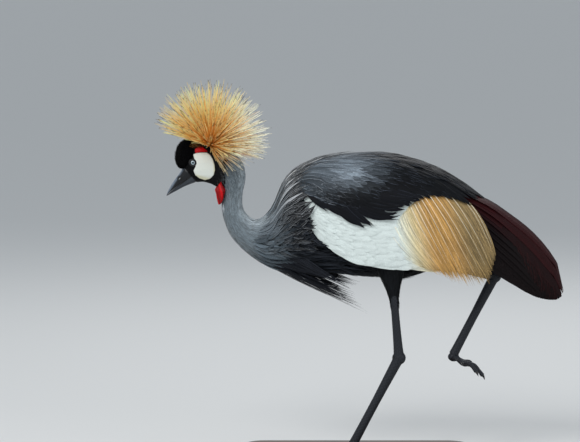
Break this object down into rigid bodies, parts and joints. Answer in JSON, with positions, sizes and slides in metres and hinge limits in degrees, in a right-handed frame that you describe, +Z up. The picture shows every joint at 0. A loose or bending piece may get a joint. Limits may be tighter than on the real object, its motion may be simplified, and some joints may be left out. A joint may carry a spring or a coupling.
{
  "type": "grey crowned crane",
  "caption": "Life-size grey crowned crane in mid step: golden bristle crest, white cheek, red wattle, drooping wing plumes, one foot lifted, on a plain base.",
  "frame": {"origin": "centre of the underside of the base, on the floor, midway between the crest's front tips and the wings' rear tips", "axes": "+Z up, the bird looks along -X, its left side is -Y, and X is the longest extent"},
  "size_m": [0.7843, 0.28, 0.7294],
  "materials": {
    "face_feathers": "short black face feathers",
    "velvet": "dense matt velvet feathers",
    "bill": "dark slate horn with a soft sheen",
    "eye": "wet pale blue-grey eye",
    "cheek_skin": "bare white skin",
    "red_skin": "bare scarlet skin",
    "crest": "stiff golden bristle feathers, cream outside",
    "grey_feathers": "slate grey lanceolate feathers",
    "black_feathers": "black feathers",
    "mantle": "dark slate plumes with pale edges",
    "white_feathers": "white wing coverts",
    "golden_plumes": "loose straw-gold plumes",
    "maroon_feathers": "deep maroon flight feathers",
    "leg_skin": "dark scaled leg skin",
    "claw": "black claws",
    "stand": "plain dark satin wood"
  },
  "bodies": {
    "root": {"head": "face_feathers", "crown_cap": "velvet", "bill_upper": "bill", "bill_lower": "bill", "eye_left": "eye", "eye_right": "eye", "cheek_left": "cheek_skin", "cheek_right": "cheek_skin", "brow_left": "red_skin", "brow_right": "red_skin", "wattle": "red_skin", "crest": "crest", "neck_upper": "grey_feathers", "neck_lower": "grey_feathers", "breast": "black_feathers", "torso": "black_feathers", "mantle": "mantle", "wing_left": "white_feathers", "wing_right": "white_feathers", "plumes_left": "golden_plumes", "plumes_right": "golden_plumes", "secondaries_left": "maroon_feathers", "secondaries_right": "maroon_feathers", "primaries_left": "black_feathers", "primaries_right": "black_feathers", "tail": "black_feathers", "stand_base": "stand", "thigh_left": "black_feathers", "shank_left": "leg_skin", "tarsus_left": "leg_skin", "foot_left": "leg_skin", "claw_left_1": "claw", "claw_left_2": "claw", "claw_left_3": "claw", "claw_left_4": "claw", "thigh_right": "black_feathers", "shank_right": "leg_skin", "tarsus_right": "leg_skin", "foot_right": "leg_skin", "claw_right_1": "claw", "claw_right_2": "claw", "claw_right_3": "claw", "claw_right_4": "claw"}
  },
  "joints": []
}
